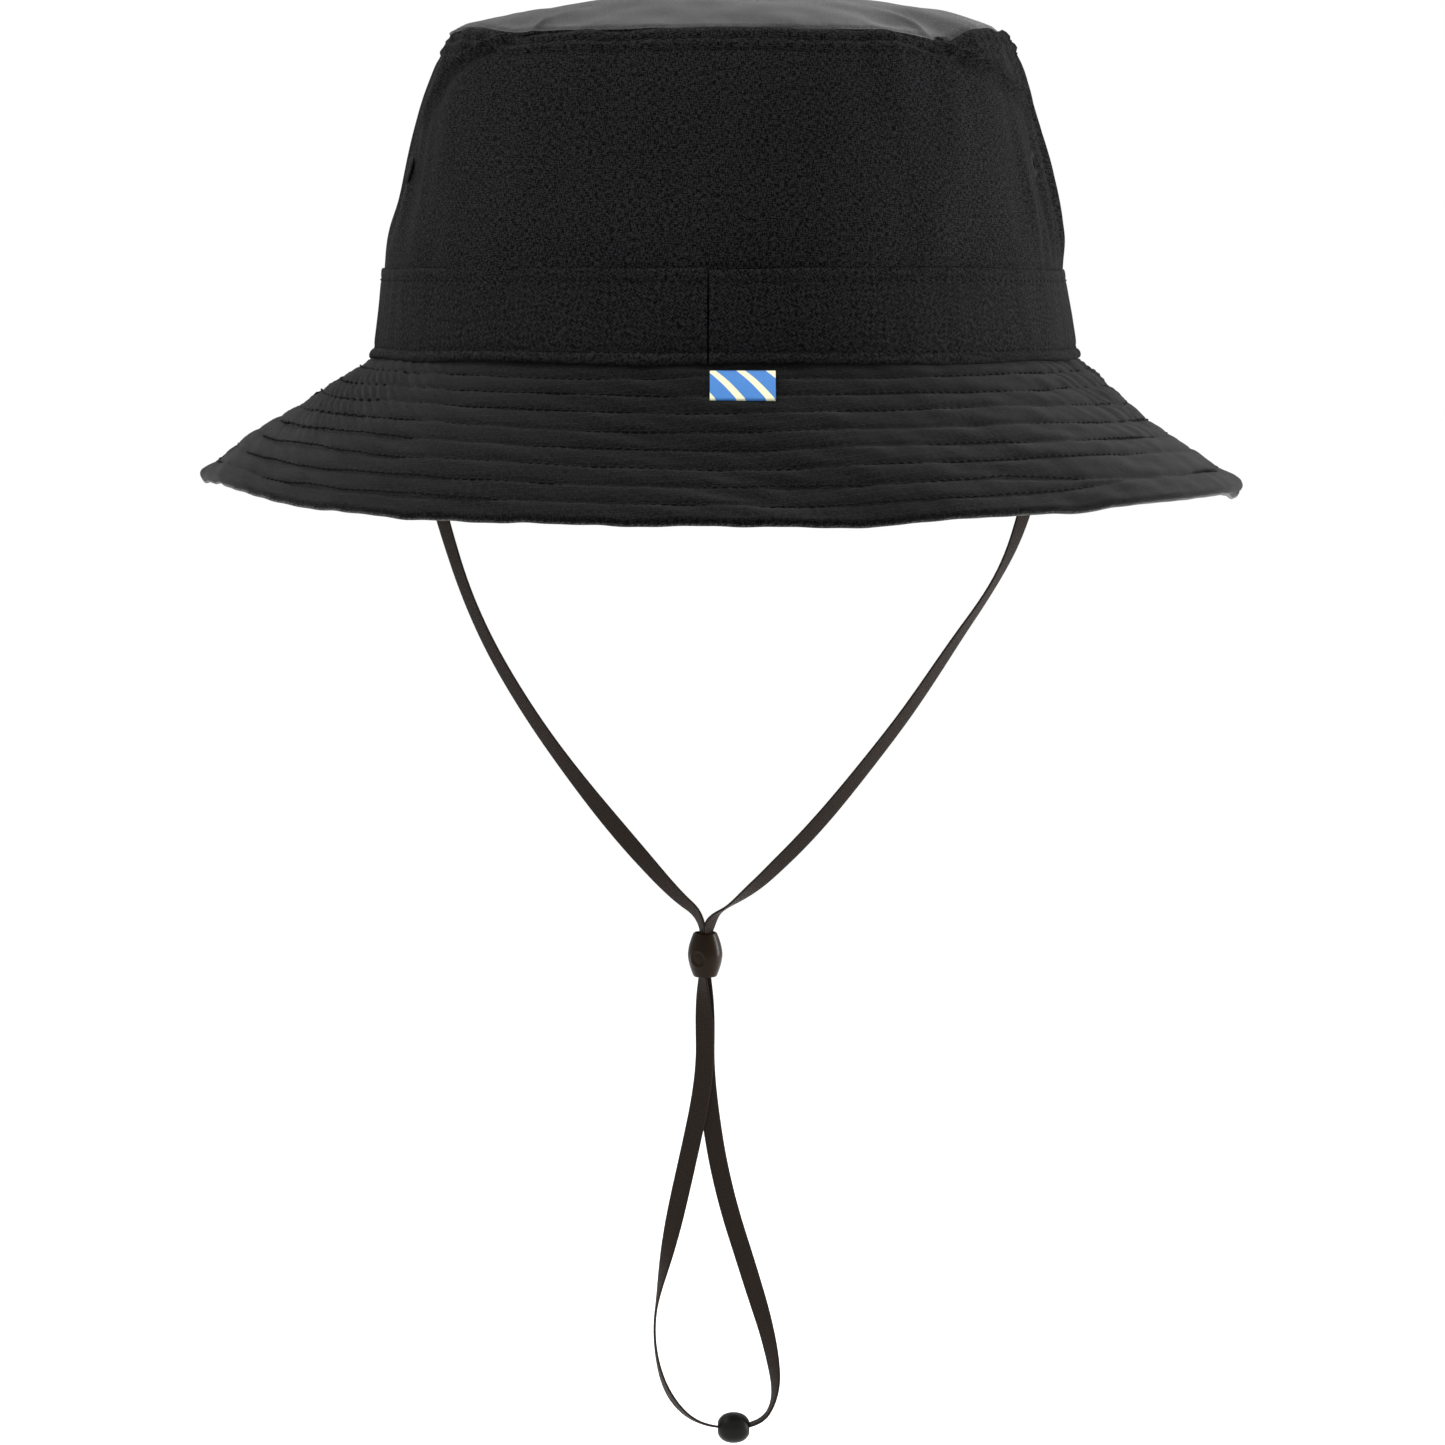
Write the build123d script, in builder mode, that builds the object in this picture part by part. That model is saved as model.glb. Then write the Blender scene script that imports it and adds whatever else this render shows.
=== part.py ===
from build123d import *
from math import atan2, cos, degrees, hypot, radians, sin, tan
import os

# A bucket hat with a chin cord, worn upright: +Z is up, -Y is the front, +X is the wearer's left
# as seen from the front. The origin is the centre of the head opening, where crown meets brim.
# Round pieces are turned about Z and then stretched along Y to the head's oval.

# ---- Driving dimensions, in millimetres ----

# Head opening, inside the sweatband
opening_width = 184.0
opening_depth = 192.0

# Crown: half widths on X at each height, outside of the crown cloth
band_top_height = 24.0
eyelet_height = 53.0
shoulder_height = 75.0
crown_rim_height = 87.5
band_top_narrowing = 2.4
eyelet_narrowing = 7.3
shoulder_narrowing = 11.6
crown_rim_narrowing = 19.4
crown_dome_rise = 9.8
dome_bend = (0.55, 0.71)

# Brim: top surface, from the joint with the crown to the outer edge
brim_root_height = 2.0
brim_root_setback = 0.8
brim_reach_side = 50.7
brim_reach_front = 49.2
brim_drop_side = 34.5
brim_drop_front = 41.5

# Cloth layers
crown_cloth = 0.8
lining_cloth = 0.5
sweatband_cloth = 1.2
sweatband_top_setback = 0.5
hatband_cloth = 0.9
brim_skin_cloth = 0.7
interlining_cloth = 0.8
layer_gap = 0.1

# Hatband: rolled lower edge, which the crown stands above, and butt seam
roll_radius = 1.4
roll_gap = 0.57
crown_lift = 0.2
butt_seam_offset = -4.3
butt_seam_gap = 0.3

# Embroidered eyelets, beside the side seams
eyelet_outer_radius = 3.7
eyelet_hole_radius = 1.8
eyelet_thread = 0.5
eyelet_seam_angle = 18.0

# Stitched thread
thread_width = 0.7
thread_height = 0.3
brim_row_count = 8
brim_first_row = 7.0
brim_row_pitch = 6.9
hatband_row_inset = 2.7
crown_row_shares = (0.84, 0.93)

# Woven tag under the rolled edge, and the blank label inside the back
tag_width = 16.8
tag_length = 9.8
tag_thickness = 0.6
tag_left_edge = -3.7
tag_lift = 0.3
tag_setback = 6.0
label_width = 24.0
label_length = 22.0
label_thickness = 0.4
label_standoff = 1.8
label_top_setback = 1.0

# Chin cord: a flat tape, with the tabs that hold its ends
tape_width = 5.0
tape_thickness = 0.7
strand_gap = 0.5
tape_end_height = -2.0
tab_width = 8.0
tab_height = 6.0
tab_thickness = 5.0
tab_gap = 1.5
tab_standoff = 0.3

# Barrel-shaped cord lock, with the tape passing twice through its bore
lock_height = 12.4
lock_wall = 1.75
lock_lip = 0.3
lock_clearance = 0.2
lock_mouth_flare = 0.15
lock_mouth_depth = 1.2
lock_center = (-5.3, 0.0, -164.8)

# Bead on the tape's loop
bead_length = 9.3
bead_wall = 1.6
bead_clearance = 0.4
bead_rounding = 1.3
bead_center = (2.6, 0.0, -297.7)

# ---- Values that follow ----

stretch = opening_depth / opening_width
wall_stack = crown_cloth + lining_cloth + sweatband_cloth + 2 * layer_gap
crown_bottom_half = opening_width / 2 + wall_stack
brim_root_half = opening_width / 2 + brim_root_setback
brim_edge_half_width = brim_root_half + brim_reach_side
brim_edge_half_depth = brim_root_half * stretch + brim_reach_front
curve_steps = 16

# The roll's middle stands off the brim's slope at the sides, where the slope is least steep.
side_slope = atan2(brim_drop_side, brim_reach_side)
roll_half = crown_bottom_half + roll_radius - layer_gap
slope_under_roll = brim_root_height - (roll_half - brim_root_half) * tan(side_slope)
roll_height = slope_under_roll + (roll_radius + roll_gap) / cos(side_slope)
crown_bottom_height = roll_height + roll_radius + crown_lift


def place_step(name, builder):
    """Label a finished piece and write its STEP file."""
    builder.part.label = name
    export_step(builder.part, f"parts/{name}.step")


os.makedirs("parts", exist_ok=True)

# ---- Crown cloth: panels, top, lining and sweatband ----


def wall_points(inset):
    """Lower line's two ends and the upper curve's points, moved inwards through the cloth."""
    # A share of the inset goes downwards where the wall leans over towards the top.
    levels = (
        (crown_bottom_half, crown_bottom_height, 0.0),
        (crown_bottom_half - band_top_narrowing, band_top_height, 0.0),
        (crown_bottom_half - eyelet_narrowing, eyelet_height, 0.1),
        (crown_bottom_half - shoulder_narrowing, shoulder_height, 0.2),
        (crown_bottom_half - crown_rim_narrowing, crown_rim_height, 0.8),
    )
    return [(half - inset, height - inset * share) for half, height, share in levels]


wall_direction = (-band_top_narrowing, band_top_height - crown_bottom_height)
rim_direction = (-1.2, 1)


def wall_half_at(height, inset):
    """Half width of the straight lower wall at one height."""
    lean = band_top_narrowing / (band_top_height - crown_bottom_height)
    return crown_bottom_half - inset - lean * (height - crown_bottom_height)


with BuildLine(Plane.XZ) as crown_side:
    Spline(wall_points(0)[1:], tangents=[wall_direction, rim_direction])
crown_side_edge = crown_side.line.edges()[0]
eyelet_share = crown_side_edge.param_at_point(
    Vector(crown_bottom_half - eyelet_narrowing, 0, eyelet_height)
)


def eyelet_plane(angle, depth_stretch):
    """Plane on the crown's outside at an eyelet, along the cloth's normal, on the oval or the circle."""
    point = crown_side_edge @ eyelet_share
    slope = (crown_side_edge % eyelet_share).X / (crown_side_edge % eyelet_share).Z
    turn = radians(angle)
    origin = (point.X * cos(turn), point.X * depth_stretch * sin(turn), eyelet_height)
    across = sin(turn) * depth_stretch / stretch
    return Plane(origin=origin, z_dir=(stretch * cos(turn), across, -stretch * slope))


eyelet_places = {
    "eyelet_front_left": 180 + eyelet_seam_angle,
    "eyelet_rear_left": 180 - eyelet_seam_angle,
    "eyelet_front_right": -eyelet_seam_angle,
    "eyelet_rear_right": eyelet_seam_angle,
}
eyelet_sleeve_radius = eyelet_hole_radius + eyelet_thread
eyelet_depth = crown_cloth + lining_cloth + 2 * layer_gap
eyelet_cut_start = -2 * eyelet_depth
eyelet_cut_length = 4 * eyelet_depth
# The holes are cut in the round wall, so a narrower oval needs a larger circle.
eyelet_cut_radius = (eyelet_sleeve_radius + layer_gap) / min(stretch, 1)

with BuildPart() as eyelet_holes:
    for angle in eyelet_places.values():
        with BuildSketch(eyelet_plane(angle, 1).offset(eyelet_cut_start)):
            Circle(eyelet_cut_radius)
        extrude(amount=eyelet_cut_length)


def turned_wall(inset, thickness, turn):
    """Half of the upright wall between two insets, still round, with its eyelet holes."""
    outer = wall_points(inset)
    inner = wall_points(inset + thickness)
    with BuildPart() as wall:
        with BuildSketch(Plane.XZ):
            with BuildLine():
                Line(outer[0], outer[1])
                Spline(outer[1:], tangents=[wall_direction, rim_direction])
                Line(outer[-1], inner[-1])
                Spline(inner[1:], tangents=[wall_direction, rim_direction])
                Line(inner[1], inner[0])
                Line(inner[0], outer[0])
            make_face()
        revolve(axis=Axis.Z, revolution_arc=turn)
        add(eyelet_holes.part, mode=Mode.SUBTRACT)
        scale(by=(1, stretch, 1))
    return wall.part


lining_inset = crown_cloth + layer_gap
half_turns = {"front": -180, "rear": 180}

for side, turn in half_turns.items():
    with BuildPart() as crown_panel:
        add(turned_wall(0, crown_cloth, turn))
    place_step(f"crown_panel_{side}", crown_panel)

    with BuildPart() as crown_lining:
        add(turned_wall(lining_inset, lining_cloth, turn))
    place_step(f"crown_lining_{side}", crown_lining)


def domed_disc(rim_half, rim_height, thickness):
    """Shallow oval dome of even upright thickness, from its lower rim."""
    middle_height = rim_height + crown_dome_rise
    bend_half = rim_half * dome_bend[0]
    bend_height = rim_height + crown_dome_rise * dome_bend[1]
    with BuildPart() as dome:
        with BuildSketch(Plane.XZ):
            with BuildLine():
                ThreePointArc((rim_half, rim_height), (bend_half, bend_height), (0, middle_height))
                Line((0, middle_height), (0, middle_height + thickness))
                ThreePointArc(
                    (0, middle_height + thickness),
                    (bend_half, bend_height + thickness),
                    (rim_half, rim_height + thickness),
                )
                Line((rim_half, rim_height + thickness), (rim_half, rim_height))
            make_face()
        revolve(axis=Axis.Z)
        scale(by=(1, stretch, 1))
    return dome.part


rim_half = wall_points(0)[-1][0]
with BuildPart() as crown_top:
    add(domed_disc(rim_half, crown_rim_height + layer_gap, crown_cloth))
place_step("crown_top", crown_top)

with BuildPart() as crown_top_lining:
    add(
        domed_disc(
            rim_half - crown_cloth - 2 * layer_gap,
            crown_rim_height - lining_cloth,
            lining_cloth,
        )
    )
place_step("crown_top_lining", crown_top_lining)

sweatband_inset = lining_inset + lining_cloth + layer_gap
sweatband_top_height = band_top_height - sweatband_top_setback
with BuildPart() as sweatband:
    with BuildSketch(Plane.XZ):
        with BuildLine():
            sweatband_bottom = wall_half_at(crown_bottom_height, sweatband_inset)
            sweatband_top = wall_half_at(sweatband_top_height, sweatband_inset)
            Polyline(
                (sweatband_bottom, crown_bottom_height),
                (sweatband_top, sweatband_top_height),
                (sweatband_top - sweatband_cloth, sweatband_top_height),
                (sweatband_bottom - sweatband_cloth, crown_bottom_height),
                close=True,
            )
        make_face()
    revolve(axis=Axis.Z)
    scale(by=(1, stretch, 1))
place_step("sweatband", sweatband)

# ---- Hatband with its rolled lower edge ----

# The cut that leaves the butt seam reaches well past the band on every side.
seam_cut_depth = 4 * (roll_radius + band_top_narrowing)
seam_cut_height = 2 * band_top_height

with BuildPart() as hatband:
    with BuildSketch(Plane.XZ):
        with BuildLine():
            strip_bottom = wall_half_at(crown_bottom_height, -layer_gap)
            strip_top = wall_half_at(band_top_height, -layer_gap)
            Polyline(
                (strip_bottom, crown_bottom_height),
                (strip_top, band_top_height),
                (strip_top + hatband_cloth, band_top_height),
                (strip_bottom + hatband_cloth, crown_bottom_height),
                (strip_bottom + hatband_cloth, roll_height),
                (strip_bottom, roll_height),
                close=True,
            )
        make_face()
        with Locations((roll_half, roll_height)):
            Circle(roll_radius)
    revolve(axis=Axis.Z)
    scale(by=(1, stretch, 1))
    with Locations((butt_seam_offset, -roll_half * stretch, band_top_height / 2)):
        Box(butt_seam_gap, seam_cut_depth, seam_cut_height, mode=Mode.SUBTRACT)
place_step("hatband", hatband)

# ---- Brim layers ----


def brim_point(angle, share, lift):
    """Point on the brim's top surface: share 0 at the joint, 1 at the edge, lift upwards."""
    turn = radians(angle)
    half_width = brim_root_half + share * (brim_edge_half_width - brim_root_half)
    root_half_depth = brim_root_half * stretch
    half_depth = root_half_depth + share * (brim_edge_half_depth - root_half_depth)
    middle_drop = (brim_drop_side + brim_drop_front) / 2
    saddle = (brim_drop_front - brim_drop_side) / 2 * cos(2 * turn)
    height = brim_root_height + share * (saddle - middle_drop) + lift
    return (half_width * cos(turn), half_depth * sin(turn), height)


def brim_sheet(start_angle, share_from, share_to, lift):
    """Half ring of the brim's surface between two shares of its width."""
    angles = [start_angle + 180 * step / curve_steps for step in range(curve_steps + 1)]
    inner = Spline(*[brim_point(angle, share_from, lift) for angle in angles], mode=Mode.PRIVATE)
    outer = Spline(*[brim_point(angle, share_to, lift) for angle in angles], mode=Mode.PRIVATE)
    return Face.make_surface_from_curves(inner.edges()[0], outer.edges()[0])


# Cloth lies on the slope, so its upright thickness is larger than its own.
brim_slope = atan2(brim_drop_side + brim_drop_front, brim_reach_side + brim_reach_front)
upright = 1 / cos(brim_slope)
brim_layers = (
    ("brim_upper", 0.0, brim_skin_cloth),
    ("brim_interlining", brim_skin_cloth + layer_gap, interlining_cloth),
    ("brim_lower", brim_skin_cloth + interlining_cloth + 2 * layer_gap, brim_skin_cloth),
)
brim_half_starts = {"front": 180, "rear": 0}

for layer, depth, thickness in brim_layers:
    for side, start_angle in brim_half_starts.items():
        with BuildPart() as brim_half:
            layer_face = brim_sheet(start_angle, 0, 1, -depth * upright)
            extrude(layer_face, amount=thickness * upright, dir=(0, 0, -1))
        place_step(f"{layer}_{side}", brim_half)

# ---- Stitching ----

brim_slant = hypot(brim_reach_side, brim_drop_side)
with BuildPart() as brim_stitching:
    for row in range(brim_row_count):
        row_share = (brim_first_row + row * brim_row_pitch) / brim_slant
        thread_share = thread_width / brim_slant
        for start_angle in brim_half_starts.values():
            row_face = brim_sheet(start_angle, row_share, row_share + thread_share, layer_gap / 2)
            extrude(row_face, amount=thread_height, dir=(0, 0, 1))
place_step("brim_stitching", brim_stitching)

with BuildPart() as hatband_stitching:
    band_face_inset = -layer_gap - hatband_cloth - layer_gap / 2
    for row_height in (band_top_height - hatband_row_inset, roll_height + roll_radius + hatband_row_inset):
        with BuildSketch(Plane.XZ):
            with BuildLine():
                row_top = row_height + thread_width
                Polyline(
                    (wall_half_at(row_height, band_face_inset), row_height),
                    (wall_half_at(row_top, band_face_inset), row_top),
                    (wall_half_at(row_top, band_face_inset - thread_height), row_top),
                    (wall_half_at(row_height, band_face_inset - thread_height), row_height),
                    close=True,
                )
            make_face()
        revolve(axis=Axis.Z)
    scale(by=(1, stretch, 1))
place_step("hatband_stitching", hatband_stitching)

with BuildPart() as crown_stitching:
    for row_share in crown_row_shares:
        row_point = crown_side_edge @ row_share
        row_along = crown_side_edge % row_share
        standoff = thread_height / 2 + layer_gap / 2
        row_middle = (row_point.X + row_along.Z * standoff, row_point.Z - row_along.X * standoff)
        row_lean = degrees(atan2(-row_along.X, row_along.Z))
        with BuildSketch(Plane.XZ):
            with Locations(Location((*row_middle, 0), (0, 0, row_lean))):
                Rectangle(thread_height, thread_width)
        revolve(axis=Axis.Z)
    scale(by=(1, stretch, 1))
place_step("crown_stitching", crown_stitching)

# ---- Embroidered eyelets ----

for name, angle in eyelet_places.items():
    with BuildPart() as eyelet:
        with BuildSketch(eyelet_plane(angle, stretch).offset(2 * layer_gap)):
            Circle(eyelet_outer_radius)
        extrude(amount=eyelet_thread)
        with BuildSketch(eyelet_plane(angle, stretch).offset(2 * layer_gap - eyelet_depth)):
            Circle(eyelet_sleeve_radius)
        extrude(amount=eyelet_depth)
        with BuildSketch(eyelet_plane(angle, stretch).offset(eyelet_cut_start)):
            Circle(eyelet_hole_radius)
        extrude(amount=eyelet_cut_length, mode=Mode.SUBTRACT)
    place_step(name, eyelet)

# ---- Woven tag on the front, hinged at its upper edge ----

front_slope = atan2(brim_drop_front, brim_reach_front)
tag_lift_to_middle = (tag_lift + tag_thickness / 2) / cos(front_slope)
tag_hinge_depth = -(brim_root_half * stretch + tag_setback)
tag_hinge_height = brim_root_height - tag_setback * tan(front_slope) + tag_lift_to_middle
tag_plane = Plane(
    origin=(tag_left_edge + tag_width / 2, tag_hinge_depth, tag_hinge_height),
    x_dir=(1, 0, 0),
    z_dir=(0, -sin(front_slope), cos(front_slope)),
)
with BuildPart() as band_tag:
    with BuildSketch(tag_plane.offset(-tag_thickness / 2)):
        with Locations((0, -tag_length / 2)):
            Rectangle(tag_width, tag_length)
    extrude(amount=tag_thickness)
place_step("band_tag", band_tag)

# ---- Blank label inside the back, hanging from the sweatband ----

label_top_height = sweatband_top_height - label_top_setback
sweatband_half_depth = wall_half_at(label_top_height, sweatband_inset + sweatband_cloth) * stretch
label_depth = sweatband_half_depth - label_standoff - label_thickness
with BuildPart() as care_label:
    with BuildSketch(Plane.XY.offset(label_top_height - label_length)):
        with Locations((0, label_depth + label_thickness / 2)):
            Rectangle(label_width, label_thickness)
    extrude(amount=label_length)
place_step("care_label", care_label)

# ---- Chin cord ----

tape_side_step = (tape_thickness + strand_gap) / 2
tab_bottom_height = tape_end_height + tab_gap
sweatband_inner_half = wall_half_at(tab_bottom_height + tab_height, sweatband_inset + sweatband_cloth)
tab_middle_half = sweatband_inner_half - tab_standoff - tab_thickness / 2

# The left strand hangs a little in front of the right one, and the two meet inside the bead.
left_strand = (
    (-tab_middle_half, tape_end_height),
    (-83.7, -20.0),
    (-77.7, -43.5),
    (-69.3, -70.5),
    (-55.5, -95.6),
    (-38.3, -119.4),
    (-22.3, -138.6),
    (-13.2, -147.9),
    (-5.35, -154.2),
    (-5.25, -166.5),
    (-5.35, -181.0),
    (-5.3, -199.0),
    (-10.6, -224.5),
    (-18.3, -258.0),
    (-19.8, -273.5),
    (-16.0, -288.8),
    (-6.3, -297.7),
)
right_strand = (
    (10.4, -297.7),
    (15.1, -288.7),
    (12.9, -274.5),
    (8.2, -258.0),
    (-1.0, -229.0),
    (-5.3, -200.0),
    (-5.25, -182.0),
    (-5.35, -167.0),
    (-5.3, -154.6),
    (3.1, -149.3),
    (13.2, -142.0),
    (27.0, -127.5),
    (43.5, -107.3),
    (60.0, -83.6),
    (76.4, -59.8),
    (84.1, -38.5),
    (86.9, -20.0),
    (tab_middle_half, tape_end_height),
)

cord_route = [Vector(x, -tape_side_step, z) for x, z in left_strand]
cord_route += [Vector(x, tape_side_step, z) for x, z in right_strand]
corner_radii = []
for before, corner, after in zip(cord_route, cord_route[1:], cord_route[2:]):
    shorter_run = min((corner - before).length, (after - corner).length)
    half_turn = (corner - before).get_angle(after - corner) / 2
    corner_radii.append(0.45 * shorter_run / tan(radians(half_turn)))

with BuildPart() as chin_cord:
    with BuildLine():
        cord_path = FilletPolyline(*cord_route, radius=corner_radii)
    with BuildSketch(Plane(origin=cord_path @ 0, x_dir=(0, 1, 0), z_dir=cord_path % 0)):
        Rectangle(tape_thickness, tape_width)
    sweep(path=cord_path)
place_step("chin_cord", chin_cord)
tape_volume = tape_width * tape_thickness * cord_path.length
print("cord length", round(cord_path.length, 1))
print("cord volume as a share of section times length", round(chin_cord.part.volume / tape_volume, 4))
print("cord corner radii", [round(radius, 1) for radius in corner_radii])

# ---- Tabs on the sweatband, which hold the cord's ends ----

for side, sign in (("left", -1), ("right", 1)):
    with BuildPart() as cord_tab:
        with BuildSketch(Plane.XY.offset(tab_bottom_height)):
            with Locations((sign * tab_middle_half, 0)):
                Rectangle(tab_thickness, tab_width)
        extrude(amount=tab_height)
    place_step(f"cord_tab_{side}", cord_tab)

# ---- Cord lock ----

lock_bore_radius = hypot(tape_width / 2, tape_side_step + tape_thickness / 2) + lock_clearance
lock_mouth_radius = lock_bore_radius + lock_mouth_flare
lock_end_radius = lock_mouth_radius + lock_lip
lock_belly_radius = lock_bore_radius + lock_wall
with BuildPart() as cord_lock:
    with BuildSketch(Plane.XZ):
        with BuildLine():
            Line((lock_mouth_radius, -lock_height / 2), (lock_end_radius, -lock_height / 2))
            ThreePointArc(
                (lock_end_radius, -lock_height / 2),
                (lock_belly_radius, 0),
                (lock_end_radius, lock_height / 2),
            )
            Polyline(
                (lock_end_radius, lock_height / 2),
                (lock_mouth_radius, lock_height / 2),
                (lock_bore_radius, lock_height / 2 - lock_mouth_depth),
                (lock_bore_radius, lock_mouth_depth - lock_height / 2),
                (lock_mouth_radius, -lock_height / 2),
            )
        make_face()
    revolve(axis=Axis.Z)
cord_lock.part = cord_lock.part.moved(Location(lock_center))
place_step("cord_lock", cord_lock)

# ---- Bead ----

bead_bore_radius = hypot(tape_width / 2, tape_thickness / 2) + bead_clearance
bead_radius = bead_bore_radius + bead_wall
bead_plane = Plane(origin=bead_center, z_dir=(1, 0, 0)).offset(-bead_length / 2)
with BuildPart() as cord_bead:
    with BuildSketch(bead_plane):
        Circle(bead_radius)
    extrude(amount=bead_length)
    fillet(cord_bead.edges(), bead_rounding)
    with BuildSketch(bead_plane):
        Circle(bead_bore_radius)
    extrude(amount=bead_length, mode=Mode.SUBTRACT)
place_step("cord_bead", cord_bead)
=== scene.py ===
import bpy
import math
import numpy as np
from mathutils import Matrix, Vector


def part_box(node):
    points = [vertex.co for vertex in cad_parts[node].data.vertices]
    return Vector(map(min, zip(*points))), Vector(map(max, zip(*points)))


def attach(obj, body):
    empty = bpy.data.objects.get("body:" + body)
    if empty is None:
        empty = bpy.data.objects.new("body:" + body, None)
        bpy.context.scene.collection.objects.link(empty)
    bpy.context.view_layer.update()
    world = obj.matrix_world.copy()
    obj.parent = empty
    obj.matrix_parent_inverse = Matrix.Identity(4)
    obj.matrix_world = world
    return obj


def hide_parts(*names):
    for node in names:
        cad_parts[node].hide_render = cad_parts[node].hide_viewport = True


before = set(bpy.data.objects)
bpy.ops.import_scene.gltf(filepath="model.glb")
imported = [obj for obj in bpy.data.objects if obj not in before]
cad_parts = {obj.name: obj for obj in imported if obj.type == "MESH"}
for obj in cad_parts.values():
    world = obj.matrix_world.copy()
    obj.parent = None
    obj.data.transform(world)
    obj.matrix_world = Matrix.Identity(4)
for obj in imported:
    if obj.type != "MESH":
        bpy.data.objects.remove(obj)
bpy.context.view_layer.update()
scene = bpy.context.scene

# Shapes are worked out in millimetres and made in metres. X is across, -Y the front, Z up.
MM = 0.001
FRONT, REAR = -90.0, 90.0

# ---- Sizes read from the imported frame, in millimetres ----


def corner_sizes(node):
    """Lowest and highest corner of a CAD node, in millimetres."""
    low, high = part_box(node)
    return np.array(low) / MM, np.array(high) / MM


crown_half = corner_sizes("crown_panel_front")[1][0]
crown_depth = -corner_sizes("crown_panel_front")[0][1]
depth_share = crown_depth / crown_half
wall_foot = corner_sizes("crown_panel_front")[0][2]
rim_height = corner_sizes("crown_panel_front")[1][2]
dome_height = corner_sizes("crown_top")[1][2]
band_top = corner_sizes("hatband")[1][2]
brim_half = corner_sizes("brim_upper_front")[1][0]
brim_depth = -corner_sizes("brim_upper_front")[0][1]
brim_front_height = corner_sizes("brim_upper_front")[0][2]
brim_root_height = corner_sizes("brim_upper_front")[1][2]
sweat_top = corner_sizes("sweatband")[1][2]
eyelet_height = float(np.mean([corner_sizes("eyelet_front_left")[i][2] for i in (0, 1)]))
lock_low, lock_high = corner_sizes("cord_lock")
bead_low, bead_high = corner_sizes("cord_bead")
tag_low, tag_high = corner_sizes("band_tag")
label_low, label_high = corner_sizes("care_label")

# ---- Camera ----

camera_data = bpy.data.cameras.new("camera")
camera = bpy.data.objects.new("camera", camera_data)
scene.collection.objects.link(camera)
camera.location = (0.0, -1.5, 0.024)
look_at = Vector((-0.0005, 0.0, -0.1004))
camera.rotation_euler = (look_at - camera.location).to_track_quat("-Z", "Y").to_euler()
camera_data.sensor_width = 36.0
camera_data.lens = 135.9
camera_data.clip_end = 20.0
scene.camera = camera

# ---- Helpers for shapes ----


def curve(*knots):
    """Smooth curve through (x, y) knots, as a function of x."""
    x, y = np.array(knots, float).T
    slope = np.gradient(y, x)

    def at(v):
        v = np.clip(v, x[0], x[-1])
        i = np.clip(np.searchsorted(x, v) - 1, 0, len(x) - 2)
        h = x[i + 1] - x[i]
        t = (v - x[i]) / h
        start = (2 * t**3 - 3 * t**2 + 1) * y[i] + (t**3 - 2 * t**2 + t) * h * slope[i]
        return start + (3 * t**2 - 2 * t**3) * y[i + 1] + (t**3 - t**2) * h * slope[i + 1]

    return at


def step(x, low, high):
    """Smooth change from 0 at low to 1 at high."""
    t = np.clip((x - low) / (high - low), 0, 1)
    return t * t * (3 - 2 * t)


def near(angle, centre, width):
    """1 at a centre angle, fading round the hat over a width, all in degrees."""
    apart = (angle - centre + 180) % 360 - 180
    return np.exp(-((apart / width) ** 2))


def waves(u, v, seed, shortest, longest, count=9):
    """Sum of random sine waves in the plane (u, v), about from -1 to 1, always the same for a seed."""
    draw = np.random.default_rng(seed)
    total = np.zeros(np.broadcast(u, v).shape)
    for _ in range(count):
        length = draw.uniform(shortest, longest)
        turn, phase = draw.uniform(0, 2 * math.pi, 2)
        along = u * math.cos(turn) + v * math.sin(turn)
        total += np.sin(2 * math.pi * along / length + phase)
    return total / math.sqrt(count)


def oval(angle, half_x, half_y, power):
    """Point on a rounded-corner oval at an angle in degrees."""
    c, s = np.cos(np.radians(angle)), np.sin(np.radians(angle))
    r = (np.abs(c) ** power + np.abs(s) ** power) ** (-1 / power)
    return half_x * r * c, half_y * r * s


def grid_normals(grid, sign=1):
    """Unit normal at each point of a grid."""
    across = np.gradient(grid, axis=0)
    along = np.gradient(grid, axis=1)
    normal = np.cross(across, along) * sign
    return normal / np.maximum(np.linalg.norm(normal, axis=-1, keepdims=True), 1e-12)


def make_piece(name, points, faces, material, body, nodes=(), uv=None, sharp=50):
    """Mesh object from points in millimetres, on a body of the frame, in place of the CAD nodes."""
    mesh = bpy.data.meshes.new(name)
    face_list = faces.tolist() if isinstance(faces, np.ndarray) else faces
    mesh.from_pydata((np.asarray(points) * MM).tolist(), [], face_list)
    if uv is not None:
        layer = mesh.uv_layers.new(name="weave")
        index = np.zeros(len(mesh.loops), dtype=np.int32)
        mesh.loops.foreach_get("vertex_index", index)
        layer.data.foreach_set("uv", (np.asarray(uv) * MM)[index].astype(np.float32).reshape(-1))
    mesh.shade_smooth()
    mesh.set_sharp_from_angle(angle=math.radians(sharp))
    mesh.materials.append(material)
    piece = bpy.data.objects.new(name, mesh)
    scene.collection.objects.link(piece)
    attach(piece, body)
    if nodes:
        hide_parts(*nodes)
    return piece


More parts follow.
